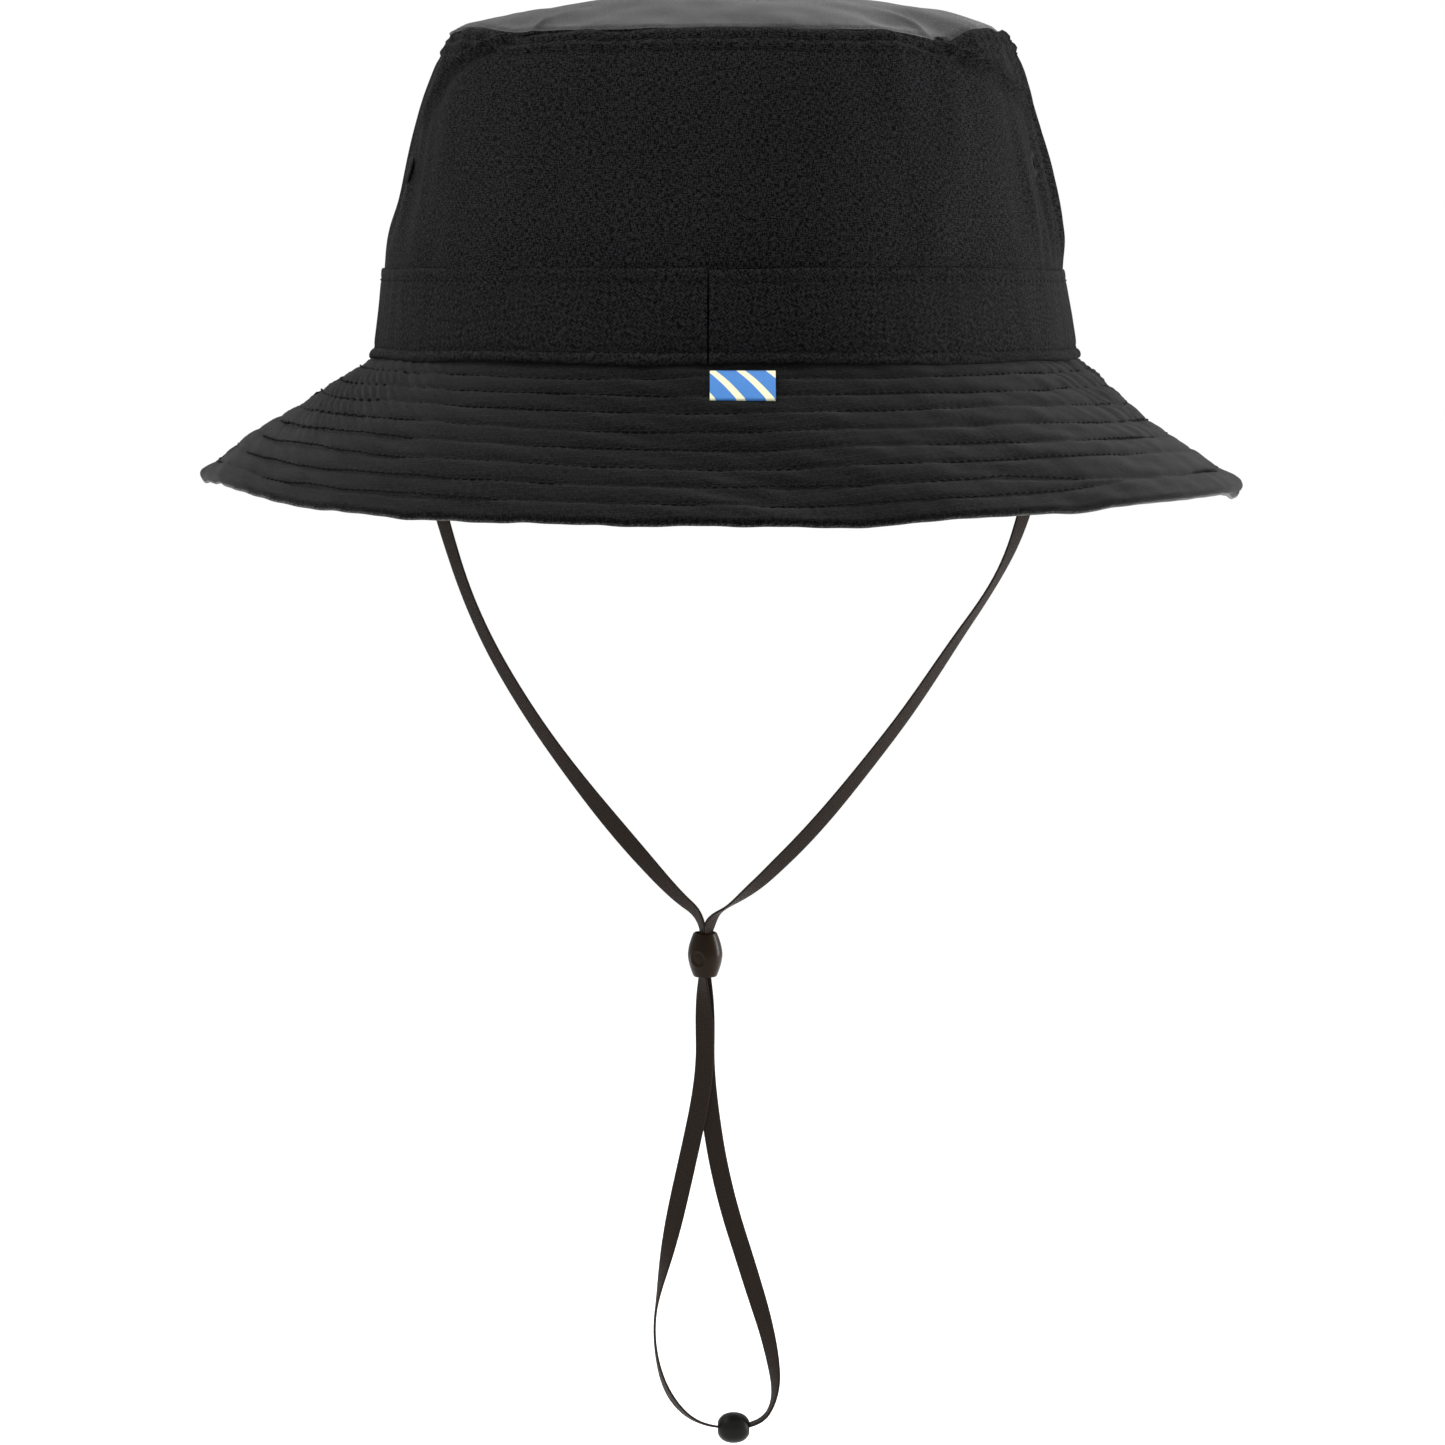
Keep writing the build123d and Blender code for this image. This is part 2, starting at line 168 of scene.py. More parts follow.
def shell(outer, inner, uv, keep=None, sign=1):
    """Points, faces and flat coordinates of a closed sheet between two grids."""
    rows, cols = outer.shape[:2]
    index = np.arange(rows * cols).reshape(rows, cols)
    quads = np.stack([index[:-1, :-1], index[1:, :-1], index[1:, 1:], index[:-1, 1:]], -1).reshape(-1, 4)
    if keep is not None:
        quads = quads[keep.reshape(-1)]
    if sign < 0:
        quads = quads[:, ::-1]
    edges = quads[:, [0, 1, 1, 2, 2, 3, 3, 0]].reshape(-1, 2)
    count = rows * cols
    rim = edges[~np.isin(edges[:, 0] * count + edges[:, 1], edges[:, 1] * count + edges[:, 0])]
    sides = np.stack([rim[:, 1], rim[:, 0], rim[:, 0] + count, rim[:, 1] + count], -1)
    faces = np.vstack([quads, quads[:, ::-1] + count, sides])
    points = np.vstack([outer.reshape(-1, 3), inner.reshape(-1, 3)])
    return points, faces, np.vstack([uv.reshape(-1, 2)] * 2)


def cloth_piece(node, grid, normal, flat, thickness, material, keep=None, sign=1, kind="cloth"):
    """Piece of the hat's cloth in place of one CAD node: a closed sheet that lies behind a grid."""
    points, faces, uv = shell(grid, grid - normal * thickness, flat, keep, sign)
    return make_piece(f"{node}_{kind}", points, faces, material, "hat", [node], uv)


def tube_faces(rings, sides, count=1):
    """Faces of count tubes of rings x sides points, capped at both ends."""
    a = np.arange(rings * sides).reshape(rings, sides)
    b = np.roll(a, -1, axis=1)
    quads = np.stack([a[:-1], b[:-1], b[1:], a[1:]], -1).reshape(-1, 4)
    one = quads.tolist() + [a[0][::-1].tolist(), a[-1].tolist()]
    size = rings * sides
    return [[p + size * k for p in face] for k in range(count) for face in one]


def stitch_tubes(line, normals, pitch, length, radius, sink):
    """Thread stitches along a line on cloth: points and faces of one short curved tube for each."""
    runs = np.linalg.norm(np.diff(line, axis=0), axis=1)
    where = np.concatenate([[0], np.cumsum(runs)])
    number = max(1, int(where[-1] / pitch))
    middle = (np.arange(number) + 0.5) * where[-1] / number
    marks = np.array([-1.0, -0.6, 0.0, 0.6, 1.0])
    place = np.clip(middle[:, None] + marks * length / 2, 0, where[-1])
    point = np.stack([np.interp(place, where, line[:, k]) for k in range(3)], -1)
    up = np.stack([np.interp(place, where, normals[:, k]) for k in range(3)], -1)
    up /= np.linalg.norm(up, axis=-1, keepdims=True)
    along = point[:, -1:] - point[:, :1]
    along = along / np.linalg.norm(along, axis=-1, keepdims=True)
    aside = np.cross(along, up)
    rise = radius * np.array([-1.0, 0.25, 0.6, 0.25, -1.0]) - sink
    thick = radius * np.array([0.5, 0.92, 1.0, 0.92, 0.5])
    point = point + up * rise[:, None]
    turn = np.linspace(0, 2 * math.pi, 6, endpoint=False)
    ring = np.cos(turn)[:, None] * aside[:, :, None] + np.sin(turn)[:, None] * up[:, :, None]
    points = point[:, :, None] + ring * thick[None, :, None, None]
    return points.reshape(-1, 3), tube_faces(5, 6, number)


def together(parts):
    """Several (points, faces) as one."""
    points, faces, start = [], [], 0
    for part_points, part_faces in parts:
        points.append(part_points)
        faces += [[p + start for p in face] for face in part_faces]
        start += len(part_points)
    return np.vstack(points), faces


# ---- Materials ----


def new_material(name):
    material = bpy.data.materials.new(name)
    material.use_nodes = True
    nodes = material.node_tree.nodes
    return material, nodes, material.node_tree.links, nodes["Principled BSDF"]


def math_node(nodes, links, operation, *values):
    node = nodes.new("ShaderNodeMath")
    node.operation = operation
    for socket, value in zip(node.inputs, values):
        if isinstance(value, (int, float)):
            socket.default_value = value
        else:
            links.new(value, socket)
    return node.outputs[0]


def weave_coordinates(nodes, links, turn):
    """Flat coordinates on the cloth, in millimetres, turned by an angle in degrees."""
    source = nodes.new("ShaderNodeUVMap")
    source.uv_map = "weave"
    mapping = nodes.new("ShaderNodeMapping")
    mapping.inputs["Rotation"].default_value[2] = math.radians(turn)
    mapping.inputs["Scale"].default_value = (1 / MM, 1 / MM, 1 / MM)
    links.new(source.outputs["UV"], mapping.inputs["Vector"])
    return mapping.outputs["Vector"]


def noise_node(nodes, links, vector, scale, detail=3.0, rough=0.6, stretch=(1, 1, 1)):
    mapping = nodes.new("ShaderNodeMapping")
    mapping.inputs["Scale"].default_value = stretch
    links.new(vector, mapping.inputs["Vector"])
    node = nodes.new("ShaderNodeTexNoise")
    node.inputs["Scale"].default_value = scale
    node.inputs["Detail"].default_value = detail
    node.inputs["Roughness"].default_value = rough
    links.new(mapping.outputs["Vector"], node.inputs["Vector"])
    return node.outputs["Fac"]


def mix_colours(nodes, links, factor, dark, light):
    node = nodes.new("ShaderNodeMix")
    node.data_type = "RGBA"
    links.new(factor, node.inputs["Factor"])
    node.inputs[6].default_value = (*dark, 1)
    node.inputs[7].default_value = (*light, 1)
    return node.outputs[2]


def thread_wave(nodes, links, axis, pitch):
    """Rounded threads side by side along one axis: 0 between them, 1 on top."""
    turned = math_node(nodes, links, "MULTIPLY", axis, math.pi / pitch)
    return math_node(nodes, links, "ABSOLUTE", math_node(nodes, links, "SINE", turned))


def cloth(name, dark, light, turn=0.0, ripstop=2.2, thread=0.42, sheen=0.05, rough=0.8, depth=0.2, fuzz=0.25):
    """Woven cloth with an even ripstop grid, fine threads and a heathered grain."""
    material, nodes, links, shader = new_material(name)
    flat = weave_coordinates(nodes, links, turn)
    parts = nodes.new("ShaderNodeSeparateXYZ")
    links.new(flat, parts.inputs[0])
    across, along = parts.outputs[0], parts.outputs[1]
    warp = thread_wave(nodes, links, across, thread)
    weft = thread_wave(nodes, links, along, thread)
    threads = math_node(nodes, links, "ADD", warp, weft)
    ribs = []
    for axis in (across, along):
        rib = math_node(nodes, links, "PINGPONG", axis, ripstop / 2)
        ribs.append(math_node(nodes, links, "LESS_THAN", rib, 0.07 * ripstop))
    grid = math_node(nodes, links, "MAXIMUM", *ribs)
    grain = noise_node(nodes, links, flat, 3.2, 1.0, 0.6, (0.25, 1.3, 1))
    grain_cross = noise_node(nodes, links, flat, 3.2, 1.0, 0.6, (1.3, 0.25, 1))
    cloud = noise_node(nodes, links, flat, 0.04, 2.0, 0.5)
    mottle = math_node(nodes, links, "ADD", grain, grain_cross)
    shade = math_node(nodes, links, "MULTIPLY_ADD", mottle, 9.0, -8.6)
    shown = math_node(nodes, links, "MULTIPLY_ADD", cloud, 1.6, -0.65)
    shade = math_node(nodes, links, "ADD", shade, math_node(nodes, links, "MULTIPLY", grid, shown))
    colour = mix_colours(nodes, links, shade, dark, light)
    links.new(colour, shader.inputs["Base Color"])
    height = math_node(nodes, links, "MULTIPLY", grid, 0.5)
    height = math_node(nodes, links, "MULTIPLY_ADD", threads, 0.3, height)
    height = math_node(nodes, links, "MULTIPLY_ADD", mottle, fuzz, height)
    bump = nodes.new("ShaderNodeBump")
    bump.inputs["Strength"].default_value = 0.7
    bump.inputs["Distance"].default_value = depth * MM
    links.new(height, bump.inputs["Height"])
    links.new(bump.outputs["Normal"], shader.inputs["Normal"])
    shader.inputs["Roughness"].default_value = rough
    shader.inputs["Specular IOR Level"].default_value = 0.03
    shader.inputs["Sheen Weight"].default_value = sheen
    shader.inputs["Sheen Roughness"].default_value = 0.4
    return material


def fibre(name, dark, light, scale, stretch, sheen=0.1, rough=0.7, depth=0.1):
    """Thread, tape or felt: stretched fibre noise on the piece's own place in space."""
    material, nodes, links, shader = new_material(name)
    place = nodes.new("ShaderNodeTexCoord").outputs["Object"]
    grain = noise_node(nodes, links, place, scale, 4.0, 0.65, stretch)
    links.new(mix_colours(nodes, links, grain, dark, light), shader.inputs["Base Color"])
    bump = nodes.new("ShaderNodeBump")
    bump.inputs["Strength"].default_value = 0.6
    bump.inputs["Distance"].default_value = depth * MM
    links.new(grain, bump.inputs["Height"])
    links.new(bump.outputs["Normal"], shader.inputs["Normal"])
    shader.inputs["Roughness"].default_value = rough
    shader.inputs["Specular IOR Level"].default_value = 0.08
    shader.inputs["Sheen Weight"].default_value = sheen
    shader.inputs["Sheen Roughness"].default_value = 0.4
    return material


def webbing(name, dark, light, rib=0.55, sheen=0.12):
    """Flat woven tape: ribs along it and fine rows across."""
    material, nodes, links, shader = new_material(name)
    flat = weave_coordinates(nodes, links, 0)
    parts = nodes.new("ShaderNodeSeparateXYZ")
    links.new(flat, parts.inputs[0])
    ribs = thread_wave(nodes, links, parts.outputs[0], rib)
    rows = thread_wave(nodes, links, parts.outputs[1], 0.7)
    grain = noise_node(nodes, links, flat, 1.6, 4.0, 0.65, (1.5, 1, 1))
    height = math_node(nodes, links, "MULTIPLY_ADD", rows, 0.5, ribs)
    shade = math_node(nodes, links, "MULTIPLY", grain, 0.8)
    shade = math_node(nodes, links, "MULTIPLY_ADD", height, 0.3, shade)
    links.new(mix_colours(nodes, links, shade, dark, light), shader.inputs["Base Color"])
    bump = nodes.new("ShaderNodeBump")
    bump.inputs["Strength"].default_value = 0.7
    bump.inputs["Distance"].default_value = 0.12 * MM
    links.new(height, bump.inputs["Height"])
    links.new(bump.outputs["Normal"], shader.inputs["Normal"])
    shader.inputs["Roughness"].default_value = 0.65
    shader.inputs["Specular IOR Level"].default_value = 0.08
    shader.inputs["Sheen Weight"].default_value = sheen
    return material


def moulded(name, dark, light, rough, coat):
    """Satin moulded plastic with a very fine surface grain."""
    material, nodes, links, shader = new_material(name)
    place = nodes.new("ShaderNodeTexCoord").outputs["Object"]
    cloud = noise_node(nodes, links, place, 260.0, 3.0, 0.6)
    fine = noise_node(nodes, links, place, 2600.0, 3.0, 0.6)
    links.new(mix_colours(nodes, links, cloud, dark, light), shader.inputs["Base Color"])
    bump = nodes.new("ShaderNodeBump")
    bump.inputs["Strength"].default_value = 0.35
    bump.inputs["Distance"].default_value = 0.04 * MM
    links.new(fine, bump.inputs["Height"])
    links.new(bump.outputs["Normal"], shader.inputs["Normal"])
    shader.inputs["Roughness"].default_value = rough
    shader.inputs["Specular IOR Level"].default_value = 0.1
    shader.inputs["Coat Weight"].default_value = coat
    shader.inputs["Coat Roughness"].default_value = 0.35
    return material


def striped_tag(name):
    """Blue woven tag with cream slanting stripes."""
    material, nodes, links, shader = new_material(name)
    flat = weave_coordinates(nodes, links, 35)
    parts = nodes.new("ShaderNodeSeparateXYZ")
    links.new(flat, parts.inputs[0])
    band = math_node(nodes, links, "PINGPONG", math_node(nodes, links, "ADD", parts.outputs[0], 50.0), 3.1)
    stripe = math_node(nodes, links, "LESS_THAN", band, 0.95)
    straight = weave_coordinates(nodes, links, 0)
    plain = nodes.new("ShaderNodeSeparateXYZ")
    links.new(straight, plain.inputs[0])
    warp = thread_wave(nodes, links, plain.outputs[0], 0.33)
    weft = thread_wave(nodes, links, plain.outputs[1], 0.33)
    threads = math_node(nodes, links, "ADD", warp, weft)
    grain = noise_node(nodes, links, straight, 1.5)
    colour = mix_colours(nodes, links, stripe, (0.035, 0.17, 0.47), (0.72, 0.7, 0.46))
    shade = math_node(nodes, links, "MULTIPLY_ADD", grain, 0.25, 0.86)
    tint = nodes.new("ShaderNodeVectorMath")
    tint.operation = "SCALE"
    links.new(colour, tint.inputs[0])
    links.new(shade, tint.inputs["Scale"])
    links.new(tint.outputs[0], shader.inputs["Base Color"])
    bump = nodes.new("ShaderNodeBump")
    bump.inputs["Strength"].default_value = 0.6
    bump.inputs["Distance"].default_value = 0.1 * MM
    links.new(threads, bump.inputs["Height"])
    links.new(bump.outputs["Normal"], shader.inputs["Normal"])
    shader.inputs["Roughness"].default_value = 0.6
    shader.inputs["Specular IOR Level"].default_value = 0.3
    shader.inputs["Sheen Weight"].default_value = 0.1
    return material


BLACK_DARK, BLACK_LIGHT = (0.001, 0.001, 0.0011), (0.0155, 0.0155, 0.0165)
ripstop_cloth = cloth("ripstop_cloth", BLACK_DARK, BLACK_LIGHT, sheen=0.0)
top_cloth = cloth("top_cloth", BLACK_DARK, BLACK_LIGHT, sheen=0.26)
# The brim is the same black ripstop as the crown's wall; its colour is set darker as painted shade, to offset
# the extra light that falls on the up-facing brim.
brim_cloth_painted_darker = cloth("brim_cloth_painted_darker", (0.0002, 0.0002, 0.0003), (0.0058, 0.0058, 0.006), turn=8, sheen=0.095)
under_cloth = cloth("under_cloth", (0.012, 0.012, 0.013), (0.035, 0.035, 0.036), turn=4, sheen=0.35)
hatband_cloth = cloth("hatband_cloth", BLACK_DARK, BLACK_LIGHT, turn=45, sheen=0.004)
lining_cloth = cloth("lining_cloth", (0.014, 0.014, 0.015), (0.03, 0.03, 0.033), ripstop=0.9, thread=0.3)
sweat_cloth = cloth(
    "sweat_cloth", (0.011, 0.011, 0.012), (0.024, 0.024, 0.025), turn=45, ripstop=1.1, thread=0.55, depth=0.3
)
label_cloth = cloth(
    "label_cloth", (0.6, 0.59, 0.55), (0.8, 0.79, 0.75), ripstop=0.6, thread=0.3, rough=0.5, depth=0.1
)
EVEN = (1, 1, 1)
stiffener = fibre("stiffener", (0.5, 0.5, 0.48), (0.66, 0.66, 0.64), 900.0, EVEN, depth=0.2)
thread = fibre("thread", (0.0004, 0.0004, 0.0004), (0.004, 0.004, 0.004), 1100.0, EVEN, sheen=0.0)
brim_thread = fibre("brim_thread", (0.0002, 0.0002, 0.0002), (0.004, 0.0035, 0.003), 900.0, EVEN, sheen=0.0)
eyelet_thread = fibre("eyelet_thread", (0.003, 0.003, 0.003), (0.012, 0.012, 0.012), 1500.0, EVEN, sheen=0.03)
tape = webbing("tape", (0.004, 0.0022, 0.0012), (0.021, 0.0148, 0.0115), sheen=0.012)
lock_plastic = moulded("lock_plastic", (0.0075, 0.0032, 0.0006), (0.0125, 0.006, 0.0016), 0.3, 0.0)
bead_plastic = moulded("bead_plastic", (0.004, 0.004, 0.0035), (0.007, 0.007, 0.006), 0.38, 0.0)
tag_cloth = striped_tag("tag_cloth")

# ---- Chin cord ----

# The part's own cord points, in metres. The left strand is the front one in the doubled run.
tab_half = 0.08904
strand_step = 0.0006
left_strand = [
    (-tab_half, -0.002), (-0.0837, -0.020), (-0.0777, -0.0435), (-0.0693, -0.0705), (-0.0555, -0.0956),
    (-0.0383, -0.1194), (-0.0223, -0.1386), (-0.0132, -0.1479), (-0.00535, -0.1542), (-0.00525, -0.1665),
    (-0.00535, -0.181), (-0.0053, -0.199), (-0.0106, -0.2245), (-0.0183, -0.258), (-0.0198, -0.2735),
    (-0.0160, -0.2888), (-0.0063, -0.2977),
]
right_strand = [
    (0.0104, -0.2977), (0.0151, -0.2887), (0.0129, -0.2745), (0.0082, -0.258), (-0.001, -0.229),
    (-0.0053, -0.200), (-0.00525, -0.182), (-0.00535, -0.167), (-0.0053, -0.1546), (0.0031, -0.1493),
    (0.0132, -0.142), (0.027, -0.1275), (0.0435, -0.1073), (0.060, -0.0836), (0.0764, -0.0598),
    (0.0841, -0.0385), (0.0869, -0.020), (tab_half, -0.002),
]
cord_points = [(x, -strand_step, z) for x, z in left_strand] + [(x, strand_step, z) for x, z in right_strand]
line_data = bpy.data.curves.new("cord_line", "CURVE")
line_data.dimensions = "3D"
line_data.resolution_u = 10
spline = line_data.splines.new("NURBS")
spline.points.add(len(cord_points) - 1)
for spline_point, place in zip(spline.points, cord_points):
    spline_point.co = (*place, 1.0)
spline.order_u = 3
spline.use_endpoint_u = True
line_object = bpy.data.objects.new("cord_line", line_data)
scene.collection.objects.link(line_object)
line_mesh = bpy.data.meshes.new_from_object(line_object.evaluated_get(bpy.context.evaluated_depsgraph_get()))
cord_line = np.array([v.co for v in line_mesh.vertices], float)
bpy.data.objects.remove(line_object)
bpy.data.meshes.remove(line_mesh)
bpy.data.curves.remove(line_data)

# How far the tape is turned from flat towards the front, in degrees, by its height in millimetres
left_turn = curve(
    (-297.7, -78), (-290, -68), (-282, -78), (-272, -88), (-258, -82), (-247, -40), (-233, -6), (-216, 0),
    (-190, -4), (-181, -22), (-171, -70), (-157, -72), (-149, -48), (-135, -20), (-110, -40),
    (-85, -48), (-60, -52),
    (-40, -42), (-2, -40),
)
right_turn = curve(
    (-297.7, -90), (-291, -98), (-283, -124), (-272, -146), (-256, -174), (-245, -180), (-216, -180),
    (-190, -176), (-181, -158), (-171, -112), (-162, -86), (-156, -46), (-152, -84), (-147, -56), (-141, -40),
    (-135, -36), (-110, -44),
    (-85, -54), (-60, -68), (-44, -44), (-2, -40),
)


def tape_strip(line, width, thickness, wave):
    """Flat tape along a line, in millimetres, twisted as the two turn curves say."""
    tangent = np.gradient(line, axis=0)
    tangent[:, 1] = 0
    tangent /= np.linalg.norm(tangent, axis=1, keepdims=True)
    flat_side = np.stack([-tangent[:, 2], 0 * tangent[:, 0], tangent[:, 0]], -1)
    depth_side = np.array([0.0, 1.0, 0.0])
    on_left = np.arange(len(line)) < np.argmin(np.abs(line[:, 0] - 2.6) + np.abs(line[:, 2] + 297.7))
    turn = np.radians(np.where(on_left, left_turn(line[:, 2]), right_turn(line[:, 2])))
    turn = np.convolve(np.pad(turn, 3, mode="edge"), np.ones(7) / 7, mode="valid")
    wide = np.cos(turn)[:, None] * flat_side + np.sin(turn)[:, None] * depth_side
    face = np.cos(turn)[:, None] * depth_side - np.sin(turn)[:, None] * flat_side
    doubled = step(line[:, 2], -238, -216) * step(line[:, 2], -138, -150)
    middle = line.copy()
    middle[:, 1] *= 1 - doubled
    middle = middle - face * (doubled * strand_step / MM)[:, None]
    run = np.concatenate([[0], np.cumsum(np.linalg.norm(np.diff(line, axis=0), axis=1))])
    middle = middle + face * (wave * waves(run, 0 * run, 31, 22, 60))[:, None]
    side = np.array([-1, -0.93, -0.5, 0, 0.5, 0.93, 1])
    bulge = np.array([0.0, 0.8, 1.0, 1.0, 1.0, 0.8, 0.0])
    section = [(s, b) for s, b in zip(side, bulge)] + [(s, -b) for s, b in zip(side[-2:0:-1], bulge[-2:0:-1])]
    rings = [middle + wide * (s * width / 2) + face * (b * thickness / 2) for s, b in section]
    points = np.stack(rings, 1)
    flat = np.stack([np.stack([np.full(len(line), (s + 1) * width / 2), run], -1) for s, b in section], 1)
    return points.reshape(-1, 3), tube_faces(len(line), len(section)), flat.reshape(-1, 2), middle


tape_width, tape_thickness, tape_wave = 5.12, 0.7, 0.12
points, faces, flat, tape_middle = tape_strip(cord_line / MM, tape_width, tape_thickness, tape_wave)
chin_cord = make_piece(
    "chin_cord_tape", points, faces, tape, "chin_cord", ["chin_cord"], flat, sharp=40
)

# ---- Cord lock and bead ----


def turned(profile, axis_steps, sideways=False):
    """Piece turned from a closed (radius, height) profile about Z, or about X when sideways."""
    profile = np.array(profile, float)
    turn = np.linspace(0, 2 * math.pi, axis_steps, endpoint=False)
    radius, height = profile[:, 0], profile[:, 1]
    x = np.cos(turn)[:, None] * radius
    y = np.sin(turn)[:, None] * radius
    z = np.broadcast_to(height, x.shape)
    points = np.stack([z, x, y] if sideways else [x, y, z], -1)
    a = np.arange(points.shape[0] * points.shape[1]).reshape(points.shape[:2])
    b = np.roll(a, -1, axis=0)
    quads = np.stack([a, b, np.roll(b, -1, axis=1), np.roll(a, -1, axis=1)], -1).reshape(-1, 4)
    return points.reshape(-1, 3), quads


lock_centre = (lock_low + lock_high) / 2
lock_height = lock_high[2] - lock_low[2]
lock_belly = (lock_high[0] - lock_low[0]) / 2 * 1.045
lock_rim, lock_bore = 3.4, 2.88
up = np.linspace(-1, 1, 41)
barrel = lock_rim + (lock_belly - lock_rim) * (1 - np.abs(up) ** 1.7)
lock_profile = [(r, h * (lock_height / 2 - 0.5)) for r, h in zip(barrel, up)]
corner = [(lock_rim - 0.12, 0.28), (lock_rim - 0.38, 0.46), (lock_bore + 0.1, 0.5), (lock_bore, 0.35)]
lock_profile += [(r, lock_height / 2 - 0.5 + h) for r, h in corner]
lock_profile += [(lock_bore - 0.08, h) for h in np.linspace(lock_height / 2 - 0.8, 0.8 - lock_height / 2, 9)]
lock_profile += [(r, 0.5 - lock_height / 2 - h) for r, h in reversed(corner)]
lock_points, lock_faces = turned(lock_profile, 96)
dimple_at = np.array([-0.44, -0.9, -0.14]) * (lock_belly, lock_belly, lock_height / 2)
dimple_far = np.linalg.norm(lock_points - dimple_at, axis=1)
radial = lock_points * (1, 1, 0)
outside = np.linalg.norm(radial, axis=1) > lock_bore + 0.3
radial = radial / np.linalg.norm(radial, axis=1, keepdims=True)
dimple_depth, dimple_radius, lip_height, lip_width = 0.4, 2.0, 0.14, 0.26
dent = dimple_depth * np.exp(-((dimple_far / dimple_radius) ** 10))
dent = dent - lip_height * np.exp(-(((dimple_far - dimple_radius - 0.3) / lip_width) ** 2))
lock_points = lock_points - radial * (dent * outside)[:, None] + lock_centre
cord_lock = make_piece(
    "cord_lock_barrel", lock_points, lock_faces, lock_plastic,
    "cord_lock", ["cord_lock"], sharp=60
)

bead_centre = (bead_low + bead_high) / 2
bead_length = bead_high[0] - bead_low[0]
bead_radius, bead_bore = (bead_high[2] - bead_low[2]) / 2 * 0.955, 2.75
bead_profile = []
for swing in np.linspace(-1.22, 1.22, 45):
    out = bead_radius * abs(math.cos(swing)) ** (2 / 2.25)
    along = bead_length / 2 * 1.01 * math.copysign(abs(math.sin(swing)) ** (2 / 2.25), swing)
    bead_profile.append((out, along))
bead_profile += [(1.35, bead_length / 2 - 0.6), (bead_bore, bead_length / 2 - 1.7), (bead_bore, 0)]
bead_profile += [(bead_bore, 1.7 - bead_length / 2), (1.35, 0.6 - bead_length / 2)]
points, faces = turned(bead_profile, 64, sideways=True)
points = points + bead_centre
cord_bead = make_piece(
    "cord_bead_round", points, faces, bead_plastic, "cord_bead", ["cord_bead"], sharp=60
)

# ---- Crown wall ----

wall_half = curve(
    (0.0, 1.003), (0.27, 0.976), (0.36, 0.969), (0.51, 0.942), (0.64, 0.913), (0.73, 0.892), (0.83, 0.866),
    (0.925, 0.834), (0.97, 0.813), (1.0, 0.79),
)
wall_power = curve((0.0, 2.04), (0.3, 2.07), (0.55, 2.16), (0.8, 2.4), (1.0, 2.7))
seam_height = rim_height + 1.1

# Creases pressed into the crown, by height: the angle they run at, in degrees
left_crease = curve((58, -163), (70, -157), (76, -152), (82, -141), (87, -132), (92, -127))
right_crease = curve((58, -17), (70, -21), (76, -31), (81, -43), (86, -49), (92, -52))


def seam_level(angle):
    """Height of the seam between the crown's wall and top, which dips at the creases."""
    level = seam_height - 2.1 * near(angle, FRONT, 42) - 0.6 * near(angle, REAR, 50)
    level = level - 4.2 * near(angle, -46, 8) - 1.4 * near(angle, -131, 7)
    return level + 0.35 * np.sin(np.radians(angle * 7 + 20))


def wall_relief(angle, height, reach):
    """How far the crown's cloth stands in or out, in millimetres."""
    run = np.radians(angle) * crown_half * 0.9
    relief = 0.55 * waves(run, height * 0.6, 3, 38, 90)
    relief = relief + 0.22 * waves(run, height * 0.35, 5, 9, 26)
    sides = near(angle, 180, 34) + near(angle, 0, 34)
    relief = relief + 0.4 * sides * waves(run, height * 0.22, 8, 7, 16) * step(height, 22, 40)
    below = (1 - reach) * (seam_height - wall_foot)
    pucker = np.sin(run * 2 * math.pi / 5.2 + 1.4 * waves(run, 0 * run, 12, 25, 60))
    pucker = pucker + 0.7 * waves(run, below * 1.5, 14, 5, 14)
    relief = relief + 0.2 * pucker * np.exp(-((below / 7.5) ** 2)) * step(below, 0, 1.5)
    for crease, depth in ((left_crease, 2.0), (right_crease, 2.3)):
        aside = ((angle - crease(height) + 180) % 360 - 180) * crown_half * 0.0165
        fade = step(height, 58, 78)
        ridge = np.exp(-np.abs(aside) / 2.2) - 0.55 * np.exp(-(((np.abs(aside) - 7.5) / 5.0) ** 2))
        relief = relief + depth * fade * ridge * (0.4 + 0.6 * step(below, 0, 6))
    folds = near(angle, -7, 15) * step(height, 20, 34) + 0.5 * near(angle, -172, 14) * step(height, 30, 60)
    relief = relief + 0.85 * folds * waves(run + height * 0.12, height * 0.1, 83, 5, 12)
    relief = relief - 1.2 * near(angle, 180, 50) * step(height, 26, 48)
    relief = relief - 0.5 * np.exp(-((below / 1.1) ** 2))
    for line_height in (3.0, 6.1):
        relief = relief - 0.4 * np.exp(-(((below - line_height) / 0.6) ** 2))
    relief = relief + 0.55 * np.exp(-(((below - 4.6) / 1.1) ** 2))
    relief = relief + 0.6 * np.exp(-(((below - 1.4) / 0.9) ** 2))
    return relief


def wall_grid(angles, reaches, inset=0.0):
    """Points on the crown's wall for each angle and reach, 0 at the foot and 1 at the top seam."""
    angle, reach = np.meshgrid(angles, reaches, indexing="ij")
    height = wall_foot + reach * (seam_level(angle) - wall_foot)
    half = crown_half * wall_half((wall_foot + reach * (seam_height - wall_foot)) / seam_height)
    x, y = oval(angle, half, half * depth_share, wall_power(reach))
    grid = np.stack([x, y, height], -1)
    normal = grid_normals(grid)
    grid = grid + normal * wall_relief(angle, height, reach)[..., None]
    normal = grid_normals(grid)
    flat = np.stack([np.radians(angle) * crown_half, height], -1)
    return grid - normal * inset, normal, flat


